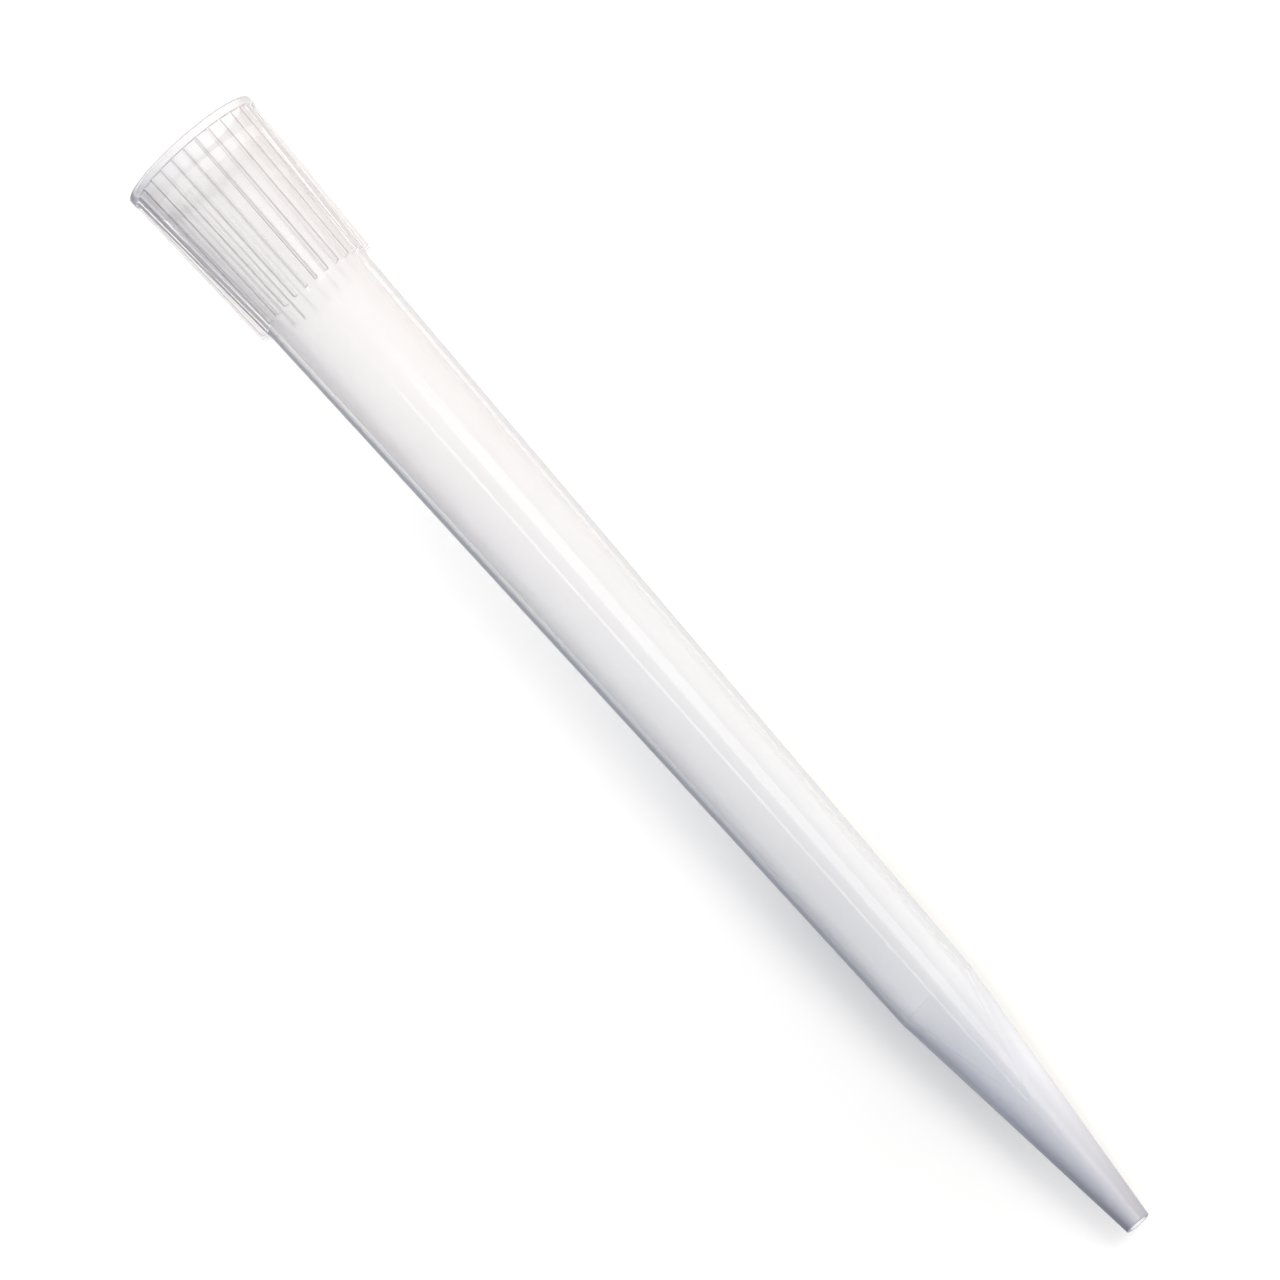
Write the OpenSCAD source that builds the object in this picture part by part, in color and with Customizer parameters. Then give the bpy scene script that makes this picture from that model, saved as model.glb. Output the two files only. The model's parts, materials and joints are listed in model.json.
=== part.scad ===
// Large-volume pipette tip, moulded in one piece from natural polypropylene.
// It stands on the rim of its hub, with the orifice at the top. The origin is
// the middle of the rim and +Z runs along the tip's axis. Millimetres.

/* [Overall] */
// Length from the hub's rim to the orifice
tip_len = 155; // [128:1:190]
// Height of the ribs' square ends above the rim
hub_len = 20.9; // [17:0.1:26]
// How far past the ribs' ends the hub's wall runs before the barrel begins
hub_run_out = 0.6; // [0.4:0.1:0.9]
// Length of the steep cone that ends in the orifice
cone_len = 32.4; // [26:0.2:39]

/* [Socket in the hub] */
// Bore of the straight land that grips the pipette's nozzle
seat_d = 13.8; // [11.4:0.1:16.6]
// Length of that land
seat_len = 4; // [3:0.1:5]
// How far the mouth's radius stands outside the land's
mouth_step = 0.5; // [0.35:0.05:0.7]
// Depth of the plain mouth
mouth_depth = 3.2; // [2.5:0.1:4]
// Length of the lead-in cone between the mouth and the land
lead_len = 1.2; // [0.8:0.1:1.6]
// Wall at the land's inner end
land_wall = 0.69; // [0.55:0.02:0.9]

/* [Rim and ribs] */
// Wall around the mouth
mouth_wall = 0.65; // [0.5:0.05:0.85]
// Height of the smooth rim band
rim_h = 1.05; // [0.8:0.05:1.4]
// How far the rim band stands out from the hub's wall
rim_lip = 0.38; // [0.3:0.02:0.48]
// Radius that rounds the rim's edges
rim_edge = 0.22; // [0.15:0.01:0.28]
// Number of ribs around the hub
rib_count = 30; // [20:1:36]
// Thickness of a rib
rib_w = 0.36; // [0.28:0.01:0.45]
// Height of a rib where it leaves the rim
rib_top_h = 0.3; // [0.2:0.02:0.38]
// Height of a rib at its square end
rib_end_h = 0.9; // [0.7:0.02:1.1]

/* [Barrel] */
// Outside diameter of the barrel where it leaves the hub
barrel_d = 13.54; // [11.2:0.1:16.4]
// Outside diameter of the barrel at the shoulder
shoulder_d = 9.6; // [8:0.1:11.6]
// Wall of the barrel
barrel_wall = 0.85; // [0.7:0.05:1.05]
// Step down from the barrel to the cone, where two parts of the mould met
shoulder_step = 0.04; // [0.02:0.01:0.08]
// Length of each half of the curve that blends the bore at the shoulder
shoulder_blend = 5; // [3:0.5:7]

/* [Orifice] */
// Bore of the orifice
orifice_d = 1.9; // [1.5:0.05:2.3]
// Wall around the orifice
orifice_wall = 0.55; // [0.45:0.05:0.7]
// Length of the straight bore behind the orifice
orifice_len = 2.5; // [2:0.1:3.2]

/* [Hidden] */

// Natural polypropylene
plastic = [0.9, 0.91, 0.93, 0.75];

seat_r = seat_d / 2;
mouth_r = seat_r + mouth_step;
hub_r = mouth_r + mouth_wall;
rim_r = hub_r + rim_lip;
barrel_r = barrel_d / 2;
shoulder_r = shoulder_d / 2;
orifice_r = orifice_d / 2;
end_r = orifice_r + orifice_wall;

seat_z = mouth_depth + lead_len;
land_end_z = seat_z + seat_len;
barrel_z = hub_len + hub_run_out;
shoulder_z = tip_len - cone_len;
orifice_z = tip_len - orifice_len;

// Outside radius of the wall at the land's inner end, and a rib's height there
land_wall_r = seat_r + land_wall;
rib_land_h = rib_top_h + (rib_end_h - rib_top_h) * (land_end_z - rim_h) / (hub_len - rim_h);

// Facets of the turned surfaces, and steps of an edge's arc and of the blend
round_fn = 96;
edge_steps = 6;
blend_steps = 8;
// How deep a rib is rooted in the wall and in the rim, so that they are one
rib_root = 0.3;
// How far a cut runs past the face that it opens
cut = 1;

// The bore's corners: where it leaves the hub, its shoulder and its end
bore_hub = [barrel_r - barrel_wall, barrel_z];
bore_shoulder = [shoulder_r - barrel_wall, shoulder_z];
bore_end = [orifice_r, orifice_z];

// Point of the line from a to b that lies at height z
function at_height(a, b, z) = a + (b - a) * (z - a[1]) / (b[1] - a[1]);

// Curve that leaves the line from a to the corner one reach before the corner,
// and joins the line from the corner to b one reach behind it
function blend(a, corner, b, reach) =
    let (
        start = at_height(a, corner, corner[1] - reach),
        stop = at_height(corner, b, corner[1] + reach)
    )
    [
        for (i = [0 : blend_steps])
            let (t = i / blend_steps)
            (1 - t) * (1 - t) * start + 2 * t * (1 - t) * corner + t * t * stop
    ];

// Arc about a centre, from one angle to another
function arc(centre, r, from, to) = [
    for (i = [0 : edge_steps])
        let (angle = from + (to - from) * i / edge_steps)
        centre + r * [cos(angle), sin(angle)]
];

// Outside of the tip without its ribs, from the rim to the orifice
module outside() {
    rotate_extrude($fn = round_fn)
        polygon(concat(
            [[0, 0]],
            arc([rim_r - rim_edge, rim_edge], rim_edge, -90, 0),
            arc([rim_r - rim_edge, rim_h - rim_edge], rim_edge, 0, 90),
            [[hub_r, rim_h], [land_wall_r, land_end_z], [barrel_r, barrel_z]],
            [[shoulder_r, shoulder_z], [shoulder_r - shoulder_step, shoulder_z]],
            [[end_r, tip_len], [0, tip_len]]
        ));
}

// Mouth, lead-in, straight land and the long tapered bore
module bore() {
    rotate_extrude($fn = round_fn)
        polygon(concat(
            [[0, -cut], [mouth_r, -cut], [mouth_r, mouth_depth]],
            [[seat_r, seat_z], [seat_r, land_end_z], bore_hub],
            blend(bore_hub, bore_shoulder, bore_end, shoulder_blend),
            [bore_end, [orifice_r, tip_len + cut], [0, tip_len + cut]]
        ));
}

// One thin fin, square at its end
module rib() {
    translate([0, rib_w / 2, 0])
        rotate([90, 0, 0])
            linear_extrude(rib_w)
                polygon([
                    [hub_r - rib_root, rim_h - rib_root],
                    [hub_r + rib_top_h, rim_h - rib_root],
                    [land_wall_r + rib_land_h, land_end_z],
                    [barrel_r + rib_end_h, hub_len],
                    [barrel_r - rib_root, hub_len],
                    [land_wall_r - rib_root, land_end_z]
                ]);
}

module pipette_tip() {
    color(plastic)
        difference() {
            union() {
                outside();
                for (i = [0 : rib_count - 1])
                    rotate(i * 360 / rib_count)
                        rib();
            }
            bore();
        }
}

pipette_tip();
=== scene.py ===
"""Large-volume pipette tip in natural polypropylene, standing on the rim of its hub.

The tip is one moulding. Its skin is a single closed mesh, turned from an outline and
ribbed round the hub, and it holds the wall's outside and its bore. Lengths are metres.
"""

import json
import math

import bpy
from mathutils import Matrix, Vector

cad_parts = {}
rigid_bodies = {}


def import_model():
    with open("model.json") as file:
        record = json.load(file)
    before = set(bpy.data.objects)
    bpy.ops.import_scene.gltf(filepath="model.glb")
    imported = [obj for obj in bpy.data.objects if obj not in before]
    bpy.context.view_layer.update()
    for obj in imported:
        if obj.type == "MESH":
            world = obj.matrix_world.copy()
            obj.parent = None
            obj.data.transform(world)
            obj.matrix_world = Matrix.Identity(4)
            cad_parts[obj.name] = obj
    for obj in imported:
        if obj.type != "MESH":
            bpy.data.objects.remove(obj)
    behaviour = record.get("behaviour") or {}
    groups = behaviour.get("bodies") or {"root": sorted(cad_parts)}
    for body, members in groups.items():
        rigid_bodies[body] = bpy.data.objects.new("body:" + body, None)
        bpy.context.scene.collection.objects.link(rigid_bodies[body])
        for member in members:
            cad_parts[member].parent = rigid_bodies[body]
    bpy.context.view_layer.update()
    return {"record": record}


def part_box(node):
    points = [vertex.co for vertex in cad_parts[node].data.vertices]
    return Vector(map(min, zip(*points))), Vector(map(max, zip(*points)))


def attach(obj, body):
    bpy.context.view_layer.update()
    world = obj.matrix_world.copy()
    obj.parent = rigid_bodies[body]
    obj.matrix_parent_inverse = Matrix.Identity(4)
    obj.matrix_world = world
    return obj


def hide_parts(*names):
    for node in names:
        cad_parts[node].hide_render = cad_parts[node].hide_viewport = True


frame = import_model()

MM = 0.001

# ---------------------------------------------------------------- sizes
mounts = {m["name"]: m for m in frame["record"]["mounts"]}
socket = mounts["nozzle_socket"]
seat_r = socket["dims"]["r_mm"] * MM
seat_half = socket["dims"]["length_mm"] * MM / 2
seat_low = socket["pos_m"][2] - seat_half
seat_high = socket["pos_m"][2] + seat_half

low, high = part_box("pipette_tip")
tip_len = high.z
rim_r = high.x

mouth_step = 0.5 * MM
mouth_wall = 0.65 * MM
lead_len = 1.2 * MM
mouth_r = seat_r + mouth_step
mouth_depth = seat_low - lead_len
hub_r = mouth_r + mouth_wall
rim_h = 1.05 * MM
rim_edge = 0.22 * MM

rib_count = 30
rib_w = 0.36 * MM
rib_top_h = 0.3 * MM
rib_end_h = 0.9 * MM
rib_end_z = 20.9 * MM
rib_round = 0.09 * MM
rib_fillet = 0.1 * MM

hub_run_out = 0.6 * MM
barrel_r = 6.77 * MM
barrel_z = rib_end_z + hub_run_out
barrel_wall = 0.85 * MM
cone_len = 32.4 * MM
shoulder_r = 4.8 * MM
shoulder_z = tip_len - cone_len
shoulder_step = 0.04 * MM
shoulder_blend = 5 * MM

orifice_r = 0.95 * MM
orifice_wall = 0.55 * MM
orifice_len = 2.5 * MM
edge_round = 0.1 * MM

# Longest piece of a straight stretch, and the short piece kept at a stretch's ends
span = 4 * MM
guard = 0.12 * MM
# Height that the rounding at a rib's two ends takes up
rib_lip = 0.06 * MM


# ---------------------------------------------------------------- outline of the moulding
def line_at(a, b, z):
    """Point of the line from a to b that lies at height z."""
    return a + (b - a) * ((z - a.y) / (b.y - a.y))


def bend(before, corner, after, reach, steps=4):
    """Curve that replaces a corner, starting and ending one reach away from it."""
    start = corner + (before - corner).normalized() * reach
    stop = corner + (after - corner).normalized() * reach
    ts = [i / steps for i in range(steps + 1)]
    return [(1 - t) ** 2 * start + 2 * t * (1 - t) * corner + t * t * stop for t in ts]


def path(corners):
    """Points of a path with rounded corners. Each corner is (radius, height, reach), and
    the first and last of them are passed through unrounded."""
    places = [Vector(c[:2]) for c in corners]
    points = [places[0]]
    for i in range(1, len(corners) - 1):
        points += bend(places[i - 1], places[i], places[i + 1], corners[i][2])
    return points + [places[-1]]


def spaced(points):
    """The path with its long straight stretches cut up. A short piece at each end of a
    stretch keeps the shading of a corner at the corner."""
    out = []
    for a, b in zip(points, points[1:]):
        out.append(a)
        length = (b - a).length
        if length > 4 * guard:
            cuts = math.ceil(length / span)
            shares = [guard / length] + [i / cuts for i in range(1, cuts)] + [1 - guard / length]
            out += [a.lerp(b, t) for t in shares]
    return out + [points[-1]]


# ---------------------------------------------------------------- rows of the skin
def rib_crest(z):
    """Radius of the ribs' crests at height z."""
    t = (z - rim_h) / (rib_end_z - rim_h)
    return (hub_r + rib_top_h) * (1 - t) + (barrel_r + rib_end_h) * t


def rim_rows():
    """Rim, from the middle of its underside to the ribs' crests. What is left of its top
    lies under the ribs."""
    start = (0.5 * (mouth_r + rim_r), 0, 0)
    corners = [start, (rim_r, 0, rim_edge), (rim_r, rim_h, rim_edge), (hub_r, rim_h, 0)]
    points = [p for p in spaced(path(corners)) if p.y < 0.5 * rim_h or p.x > rib_crest(rim_h)]
    return [(p.x, None, p.y) for p in points]


def hub_rows():
    """Ribbed stretch of the hub. The ribs rise from the rim and end square."""
    foot = Vector((hub_r, rim_h))
    top = Vector((barrel_r, barrel_z))
    heights = [rim_h, rim_h + rib_lip, rim_h + guard]
    cuts = math.ceil((rib_end_z - rim_h) / span)
    heights += [rim_h + (rib_end_z - rim_h) * i / cuts for i in range(1, cuts)]
    heights += [rib_end_z - guard, rib_end_z - rib_lip]
    rows = [(line_at(foot, top, z).x, rib_crest(z), z) for z in heights]
    end_r = line_at(foot, top, rib_end_z).x
    rows.append((end_r, rib_crest(rib_end_z) - rib_lip, rib_end_z))
    rows.append((end_r, end_r + 0.4 * rib_lip, rib_end_z))
    rows.append((line_at(foot, top, rib_end_z + rib_lip).x, None, rib_end_z + rib_lip))
    return rows


def barrel_rows():
    """Barrel, shoulder and end cone, round the orifice's edge and back down the bore."""
    start_z = rib_end_z + guard
    start_r = line_at(Vector((hub_r, rim_h)), Vector((barrel_r, barrel_z)), start_z).x
    end_r = orifice_r + orifice_wall
    step_z = shoulder_z + 0.5 * shoulder_step
    corners = [
        (start_r, start_z, 0),
        (barrel_r, barrel_z, 3 * edge_round),
        (shoulder_r, shoulder_z, 0.25 * shoulder_step),
        (shoulder_r - shoulder_step, step_z, 0.25 * shoulder_step),
        (end_r, tip_len, edge_round),
        (orifice_r, tip_len, edge_round),
        (orifice_r, tip_len - orifice_len, 5 * edge_round),
        (shoulder_r - barrel_wall, shoulder_z, shoulder_blend),
        (barrel_r - barrel_wall, barrel_z, 10 * edge_round),
        (seat_r, seat_high, 2 * edge_round),
        (seat_r, seat_low, edge_round),
        (mouth_r, mouth_depth, edge_round),
        (mouth_r, 0, edge_round),
        (0.5 * (mouth_r + rim_r) - guard, 0, 0),
    ]
    return [(p.x, None, p.y) for p in spaced(path(corners))]


def sector(r, crest):
    """One rib pitch of a row, as (x, y) points round a rib that points along +X. With no
    crest they all lie on the wall's circle."""
    half = rib_w / 2
    rise = crest - r if crest else 0
    top = min(rib_round, 0.45 * rise)
    foot = min(rib_fillet, 0.45 * rise)
    short = 1 - math.sqrt(0.5)
    # Distance from the rib's middle plane, and height above the wall
    side = [
        (0.5 * half, rise),
        (half - top, rise),
        (half - short * top, rise - short * top),
        (half, rise - top),
        (half, foot),
        (half + short * foot, short * foot),
        (half + foot, 0),
    ]
    if not rise:
        widths = (0.5, 0.62, 0.8, 0.98, 1.02, 1.2, 1.55)
        side = [(w * half * r / hub_r, 0) for w in widths]
    points = [(r + rise, 0)]
    points += [(math.sqrt(r * r - y * y) + up, y) for y, up in side]
    wall = math.asin(side[-1][0] / r)
    gap = math.pi / rib_count
    for share in (0.5, 1):
        angle = wall + (gap - wall) * share
        points.append((r * math.cos(angle), r * math.sin(angle)))
    return [(x, -y) for x, y in reversed(points[1:-1])] + points


def ring(r, crest):
    """The sector repeated round the axis, as (x, y) points."""
    one = [Vector(p) for p in sector(r, crest)]
    turns = [Matrix.Rotation(math.tau * i / rib_count, 2) for i in range(rib_count)]
    return [turn @ p for turn in turns for p in one]


def row_painted_lines(row, bore):
    """Marks of one sector of a row for painted dark lines, which stand in for the lines that
    refraction draws in the real tip: 1 along a rib's crest, -1 up its side, a stronger mark on the
    corner of a step and 0 elsewhere."""
    r, crest, z = row
    painted_corner_line = 1.5
    half = (0.9, 0.8, -1, -1, 0, 0.2, 0.1, 0, 0)
    if crest:
        return list(reversed(half[:-1])) + [1] + list(half)
    corners = [
        (mouth_r, 0, edge_round),
        (mouth_r, mouth_depth, edge_round),
        (seat_r, seat_low, edge_round),
        (orifice_r, tip_len, edge_round),
    ]
    if not bore:
        corners = [
            (rim_r, 0, rim_edge), (rim_r, rim_h, rim_edge),
            (orifice_r + orifice_wall, tip_len, edge_round),
        ]
    near = any(math.hypot(r - x, z - y) < 0.5 * reach for x, y, reach in corners)
    return [painted_corner_line * near] * (2 * len(half))


def build_tip():
    """The whole moulding as one closed mesh."""
    rows = rim_rows() + hub_rows() + barrel_rows()
    rings = [ring(r, crest) for r, crest, _ in rows]
    columns = len(rings[0])
    points = [(p.x, p.y, z) for (_, _, z), one in zip(rows, rings) for p in one]
    faces = []
    for j in range(len(rows)):
        this, above = j * columns, (j + 1) % len(rows) * columns
        for i in range(columns):
            k = (i + 1) % columns
            faces.append((this + i, this + k, above + k, above + i))
    mesh = bpy.data.meshes.new("pipette_tip_skin")
    mesh.from_pydata(points, [], faces)
    last_outside = max(j for j, row in enumerate(rows) if row[2] == tip_len)
    inner = [j > last_outside for j in range(len(rows))]
    # Marks for the painted dark lines on rib crests, rib sides and step corners
    marks = [mark for row, bore in zip(rows, inner) for mark in row_painted_lines(row, bore) * rib_count]
    mesh.attributes.new("painted_line", "FLOAT", "POINT").data.foreach_set("value", marks)
    bores = [float(bore) for bore in inner for _ in range(columns)]
    mesh.attributes.new("bore", "FLOAT", "POINT").data.foreach_set("value", bores)
    mesh.validate()
    mesh.update()
    tip = bpy.data.objects.new("tip_moulding", mesh)
    bpy.context.scene.collection.objects.link(tip)
    mesh.shade_smooth()
    mesh.set_sharp_from_angle(angle=math.radians(40))
    return tip


# ---------------------------------------------------------------- node helpers
class Nodes:
    """Short way to add nodes to a tree and join them."""

    def __init__(self, tree):
        self.tree = tree
        tree.nodes.clear()

    def add(self, kind, values=None, **settings):
        node = self.tree.nodes.new(kind)
        for name, value in settings.items():
            setattr(node, name, value)
        for name, value in (values or {}).items():
            if isinstance(value, bpy.types.NodeSocket):
                self.tree.links.new(value, node.inputs[name])
            else:
                node.inputs[name].default_value = value
        return node

    def math(self, operation, a, b=0.0, clamp=False):
        node = self.add("ShaderNodeMath", {0: a, 1: b}, operation=operation, use_clamp=clamp)
        return node.outputs[0]

    def rest(self, value):
        """What is left of 1 when the value is taken away."""
        return self.math("SUBTRACT", 1.0, value)

    def choose(self, mask, off, on):
        """The number off where the mask is 0, and on where it is 1."""
        return self.add("ShaderNodeMix", {0: mask, 2: off, 3: on}, data_type="FLOAT").outputs[0]

    def ramp(self, value, stops):
        node = self.add("ShaderNodeValToRGB", {0: value})
        elements = node.color_ramp.elements
        while len(elements) < len(stops):
            elements.new(0.5)
        for element, (place, colour) in zip(elements, stops):
            element.position = place
            element.color = (*colour, 1)
        return node.outputs["Color"]

    def rays(self, kinds):
        """1 for the named kinds of ray, and 0 for the rest."""
        light_path = self.add("ShaderNodeLightPath")
        total = light_path.outputs[kinds[0]]
        for kind in kinds[1:]:
            total = self.math("MAXIMUM", total, light_path.outputs[kind])
        return total


# Kinds of ray that see the studio's paper glow. The rest see it dull
SEEN = ("Is Camera Ray", "Is Glossy Ray", "Is Transmission Ray")


# ---------------------------------------------------------------- finish
def polypropylene():
    """Natural polypropylene. Both skins of the wall are thin milky films that thicken as
    sight grazes them. The bore is frosted white, and the outside is clearer and greyer."""
    material = bpy.data.materials.new("tip_polypropylene")
    material.use_nodes = True
    n = Nodes(material.node_tree)
    place = n.add("ShaderNodeTexCoord").outputs["Object"]
    height = n.add("ShaderNodeSeparateXYZ", {0: place}).outputs["Z"]
    along = n.math("DIVIDE", height, tip_len)
    # Colours along the length, warmer and lighter by the hub and darker toward the end: painted shade
    # and colour cast, as the real plastic is one colour all along
    outside = n.ramp(along, [
        (0.0, (0.68, 0.64, 0.63)),
        (0.4, (0.62, 0.60, 0.60)),
        (0.78, (0.60, 0.60, 0.61)),
        (0.87, (0.66, 0.65, 0.66)),
        (1.0, (0.35, 0.34, 0.36)),
    ])
    inside = n.ramp(along, [
        (0.0, (0.93, 0.87, 0.82)),
        (0.4, (0.90, 0.86, 0.82)),
        (0.78, (0.88, 0.86, 0.83)),
        (0.87, (0.68, 0.67, 0.68)),
        (1.0, (0.58, 0.57, 0.60)),
    ])
    # Tint of the clear part, faintly warm by the hub and faintly blue toward the end: a painted
    # colour cast
    tint = n.ramp(along, [
        (0.0, (1.0, 0.994, 0.992)),
        (0.3, (1.0, 0.994, 0.992)),
        (0.45, (1.0, 0.999, 0.999)),
        (1.0, (0.99, 0.99, 1.0)),
    ])
    # Share of light that a skin catches when seen face on, as (outside, bore, unused). Toward the end
    # the outside's share grows, so that its painted darker colour covers the cone
    films = n.ramp(along, [
        (0.0, (0.03, 0.33, 0)),
        (0.15, (0.02, 0.33, 0)),
        (0.45, (0.03, 0.33, 0)),
        (0.79, (0.04, 0.38, 0)),
        (0.89, (0.36, 0.34, 0)),
        (1.0, (0.6, 0.1, 0)),
    ])
    painted_line = n.add("ShaderNodeAttribute", attribute_name="painted_line").outputs["Fac"]
    bore = n.add("ShaderNodeAttribute", attribute_name="bore").outputs["Fac"]
    colour = n.add("ShaderNodeMix", {0: bore, 6: outside, 7: inside}, data_type="RGBA").outputs[2]
    milk = n.add("ShaderNodeBsdfPrincipled", {
        "Base Color": colour, "Roughness": 0.5, "Specular IOR Level": 0.0,
    })
    cloud = n.add("ShaderNodeTexNoise", {"Vector": place, "Scale": 120.0, "Detail": 3.0})
    rough = n.add("ShaderNodeMapRange", {
        "Value": cloud.outputs["Fac"],
        "From Min": 0.3, "From Max": 0.7, "To Min": 0.08, "To Max": 0.16,
    })
    gloss = n.add("ShaderNodeBsdfGlossy", {
        "Color": (1, 1, 1, 1), "Roughness": rough.outputs["Result"],
    })
    # The outside's far skin adds no milk, and far skins show their painted dark lines weaker
    back = n.add("ShaderNodeNewGeometry").outputs["Backfacing"]
    within = n.math("MULTIPLY", back, n.rest(bore))
    # Painted dark lines: crests and step corners darken the clear part, and rib sides get less milk
    # and a slight painted darkening
    painted_dark_line = n.math("MAXIMUM", painted_line, 0.0)
    flank = n.math("MAXIMUM", n.math("MULTIPLY", painted_line, -1.0), 0.0)
    painted_line_depth = n.choose(bore, 0.32, 0.1)
    painted_dimming = n.math("ADD", n.math("MULTIPLY", painted_dark_line, painted_line_depth), n.math("MULTIPLY", flank, 0.06))
    far = n.math("ABSOLUTE", n.math("SUBTRACT", back, bore))
    painted_dimming = n.math("MULTIPLY", painted_dimming, n.rest(n.math("MULTIPLY", far, 0.75)))
    dimmed = n.add("ShaderNodeVectorMath", {0: tint, "Scale": n.rest(painted_dimming)}, operation="SCALE")
    clear = n.add("ShaderNodeBsdfTransparent", {"Color": dimmed.outputs[0]})
    # A slanting sight crosses more of a film, and the outside's thickens more steeply
    graze = n.add("ShaderNodeLayerWeight", {"Blend": 0.5}).outputs["Facing"]
    least = n.choose(bore, 0.05, 0.5)
    steep = n.choose(bore, 4.0, 1.0)
    slant = n.math("DIVIDE", 1.0, n.math("MAXIMUM", n.rest(graze), least))
    slant = n.math("POWER", slant, steep)
    films = n.add("ShaderNodeSeparateColor", {0: films}).outputs
    film = n.choose(bore, films["Red"], films["Green"])
    film = n.math("MULTIPLY", film, n.rest(flank))
    film = n.math("MULTIPLY", film, n.rest(within))
    passed = n.math("POWER", n.rest(film), slant)
    wall = n.add("ShaderNodeMixShader", {0: passed, 1: milk.outputs[0], 2: clear.outputs[0]})
    mirror = n.math("MULTIPLY_ADD", n.math("POWER", graze, 5.0), 0.6)
    mirror.node.inputs[2].default_value = 0.02
    mirror = n.math("MULTIPLY", mirror, n.rest(n.math("MULTIPLY", far, 0.7)))
    seen = n.add("ShaderNodeMixShader", {0: mirror, 1: wall.outputs[0], 2: gloss.outputs[0]})
    # Light reaches both films whole, and is weaker once it has crossed the tip
    lets_by = n.add("ShaderNodeMapRange", {
        "Value": along, "From Min": 0.2, "From Max": 0.7, "To Min": 0.85, "To Max": 0.08,
    }).outputs["Result"]
    entered = n.math("MULTIPLY", n.rest(back), n.rest(bore))
    lets_by = n.math("ADD", n.math("MULTIPLY", lets_by, entered), n.rest(entered))
    veil = n.add("ShaderNodeBsdfTransparent", {"Color": lets_by})
    light = n.rays(("Is Shadow Ray", "Is Diffuse Ray"))
    skin = n.add("ShaderNodeMixShader", {0: light, 1: seen.outputs[0], 2: veil.outputs[0]})
    n.add("ShaderNodeOutputMaterial", {"Surface": skin.outputs[0]})
    return material


# ---------------------------------------------------------------- studio
# Height of the board behind the tip
board_tall = 0.5


def paper(name, glows, one_sided=False):
    """White paper that glows a little. What the light doesn't reach stays as the object's
    shadow. glows are stops of the glow along its height, up to board_tall."""
    material = bpy.data.materials.new(name)
    material.use_nodes = True
    n = Nodes(material.node_tree)
    matt = n.add("ShaderNodeBsdfDiffuse", {"Color": (0.82, 0.79, 0.735, 1)})
    dull = n.add("ShaderNodeBsdfDiffuse", {"Color": (0.2, 0.2, 0.2, 1)})
    place = n.add("ShaderNodeTexCoord").outputs["Object"]
    height = n.add("ShaderNodeSeparateXYZ", {0: place}).outputs["Z"]
    share = n.math("DIVIDE", height, board_tall)
    glow = n.ramp(share, [(z, (g, g, g)) for z, g in glows])
    lift = n.add("ShaderNodeEmission", {"Color": glow, "Strength": 1.0})
    lifted = n.add("ShaderNodeAddShader", {0: matt.outputs[0], 1: lift.outputs[0]})
    seen = n.add("ShaderNodeMixShader", {
        0: n.rays(SEEN), 1: dull.outputs[0], 2: lifted.outputs[0],
    })
    result = seen.outputs[0]
    if one_sided:
        clear = n.add("ShaderNodeBsdfTransparent")
        back = n.add("ShaderNodeNewGeometry").outputs["Backfacing"]
        result = n.add("ShaderNodeMixShader", {0: back, 1: result, 2: clear.outputs[0]}).outputs[0]
    n.add("ShaderNodeOutputMaterial", {"Surface": result})
    return material


def sheet(name, corners, material):
    """Flat sheet that belongs to the studio and not to the tip."""
    mesh = bpy.data.meshes.new(name)
    mesh.from_pydata(corners, [], [(0, 1, 2, 3)])
    mesh.materials.append(material)
    thing = bpy.data.objects.new(name, mesh)
    bpy.context.scene.collection.objects.link(thing)


def build_studio():
    """Floor, and a board behind the tip."""
    reach = 3.0
    floor = [(-reach, -reach, 0), (reach, -reach, 0), (reach, reach, 0), (-reach, reach, 0)]
    sheet("floor", floor, paper("floor_paper", ((0, 0.53), (1, 0.53))))
    # The board leans so that it nearly touches both the rim and the shoulder
    clearance = 0.1 * MM
    lean = (rim_r - shoulder_r) / shoulder_z
    half = 0.6
    foot_y = rim_r + clearance
    top_y = foot_y - lean * board_tall
    board = [
        (-half, foot_y, 0), (half, foot_y, 0), (half, top_y, board_tall), (-half, top_y, board_tall),
    ]
    # Its glow is lower over the tip's height and lowest beside the tip's end: painted shade that
    # deepens and widens the tip's shadow on the board
    glows = ((0, 0.44), (0.1, 0.38), (0.19, 0.37), (0.26, 0.3), (0.34, 0.29), (0.6, 0.44))
    sheet("board", board, paper("board_paper", glows, one_sided=True))


def build_world():
    """Sky that is white toward -X and a dusky blue toward +X, and plain white when seen."""
    world = bpy.data.worlds.new("studio")
    bpy.context.scene.world = world
    world.use_nodes = True
    n = Nodes(world.node_tree)
    direction = n.add("ShaderNodeTexCoord").outputs["Generated"]
    x = n.add("ShaderNodeSeparateXYZ", {0: direction}).outputs["X"]
    side = n.add("ShaderNodeMapRange", {"Value": x, "From Min": -0.3, "From Max": 0.3})
    dusk = n.add("ShaderNodeMix", {
        0: side.outputs["Result"], 6: (1, 1, 1, 1), 7: (0.38, 0.44, 0.59, 1),
    }, data_type="RGBA").outputs[2]
    lit = n.add("ShaderNodeBackground", {"Color": dusk, "Strength": 1.47})
    white = n.add("ShaderNodeBackground", {"Color": (1, 1, 1, 1), "Strength": 1.0})
    mixed = n.add("ShaderNodeMixShader", {
        0: n.rays(("Is Camera Ray",)), 1: lit.outputs[0], 2: white.outputs[0],
    })
    n.add("ShaderNodeOutputWorld", {"Surface": mixed.outputs[0]})


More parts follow.
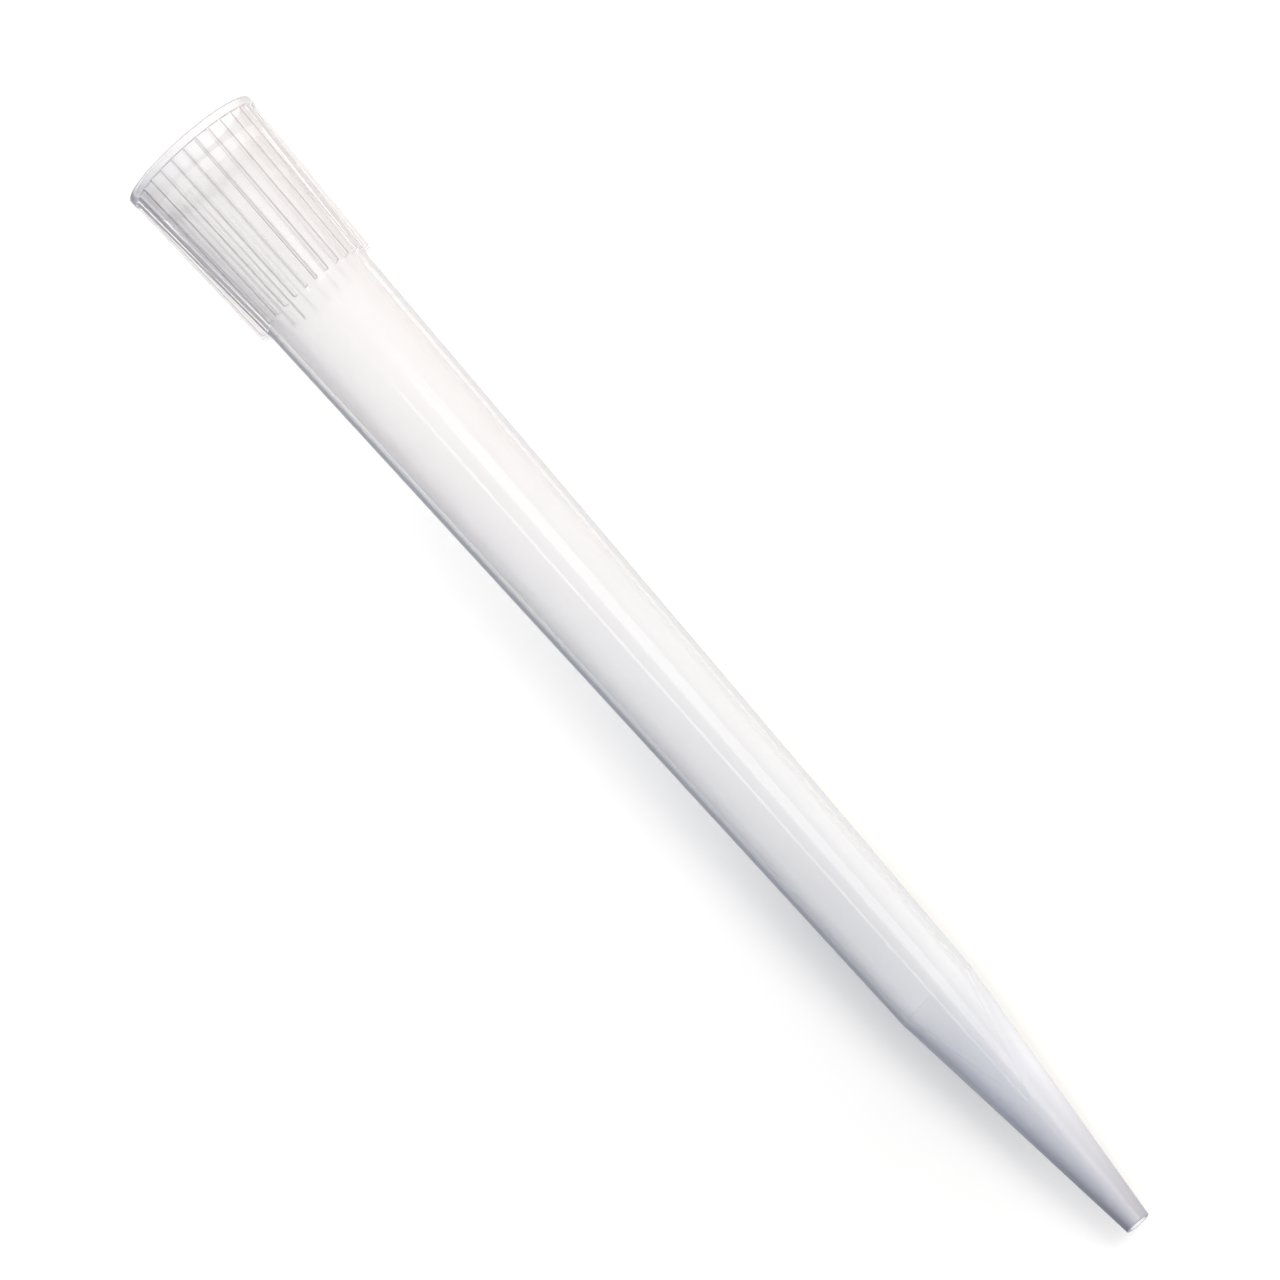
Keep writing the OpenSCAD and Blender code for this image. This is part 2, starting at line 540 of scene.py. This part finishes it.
def softbox(name, across, distance, wide, tall, energy, mirrored=True):
    """Upright area lamp that stands on the floor and faces the tip. across is how far it
    is turned from the front toward -X, in degrees. Not mirrored, it adds no highlight,
    and it doesn't reach the floor, so that no bright patch lies in front of it."""
    turn = math.radians(-across)
    away = Vector((math.sin(turn), -math.cos(turn), 0))
    data = bpy.data.lights.new(name, "AREA")
    data.shape = "RECTANGLE"
    data.size = wide
    data.size_y = tall
    data.energy = energy
    lamp = bpy.data.objects.new(name, data)
    bpy.context.scene.collection.objects.link(lamp)
    lamp.location = distance * away + Vector((0, 0, 0.5 * tall))
    lamp.rotation_euler = away.to_track_quat("Z", "Y").to_euler()
    lamp.visible_camera = False
    lamp.visible_glossy = mirrored
    if not mirrored:
        lit = bpy.data.collections.new(name + "_lit")
        for thing in bpy.data.objects:
            if thing.type == "MESH" and thing.name != "floor":
                lit.objects.link(thing)
        lamp.light_linking.receiver_collection = lit


def build_lamps():
    softbox("window", across=30, distance=0.28, wide=0.12, tall=0.25, energy=0.24)
    softbox("side", across=95, distance=0.6, wide=0.7, tall=0.7, energy=6.2, mirrored=False)
    softbox("strip", across=-9, distance=0.28, wide=0.024, tall=0.25, energy=0.07)


def build_camera():
    """Far camera that looks down on the tip at a low angle, rolled so that the tip lies
    across the picture with its hub at the upper left."""
    turn = math.radians(2.6)
    rise = math.radians(9.6)
    roll = math.radians(138.56)
    far = 5.0
    frame_w = 136.46 * MM
    shift_right = -2.4 * MM
    shift_up = 4.77 * MM
    back = Vector((math.sin(turn) * math.cos(rise), -math.cos(turn) * math.cos(rise), math.sin(rise)))
    right = Vector((math.cos(turn), math.sin(turn), 0))
    up = back.cross(right)
    right_c = math.sin(roll) * up + math.cos(roll) * right
    up_c = math.cos(roll) * up - math.sin(roll) * right
    aim = Vector((0, 0, 0.5 * tip_len)) + shift_right * right_c + shift_up * up_c
    data = bpy.data.cameras.new("camera")
    data.sensor_width = 36
    data.lens = data.sensor_width * far / frame_w
    data.clip_start = 0.1
    data.clip_end = 50
    camera = bpy.data.objects.new("camera", data)
    bpy.context.scene.collection.objects.link(camera)
    axes = Matrix((right_c, up_c, back)).transposed().to_4x4()
    camera.matrix_world = Matrix.Translation(aim + far * back) @ axes
    bpy.context.scene.camera = camera


# ---------------------------------------------------------------- assembly
tip = build_tip()
tip.data.materials.append(polypropylene())
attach(tip, "root")
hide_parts("pipette_tip")

build_studio()
build_world()
build_lamps()
build_camera()
bpy.context.scene.view_settings.view_transform = "Standard"
# Sight through the hub crosses up to a dozen skins on its way out, and as many back
cycles = bpy.context.scene.cycles
cycles.transparent_max_bounces = 32
cycles.max_bounces = 4
cycles.diffuse_bounces = 1
cycles.glossy_bounces = 2
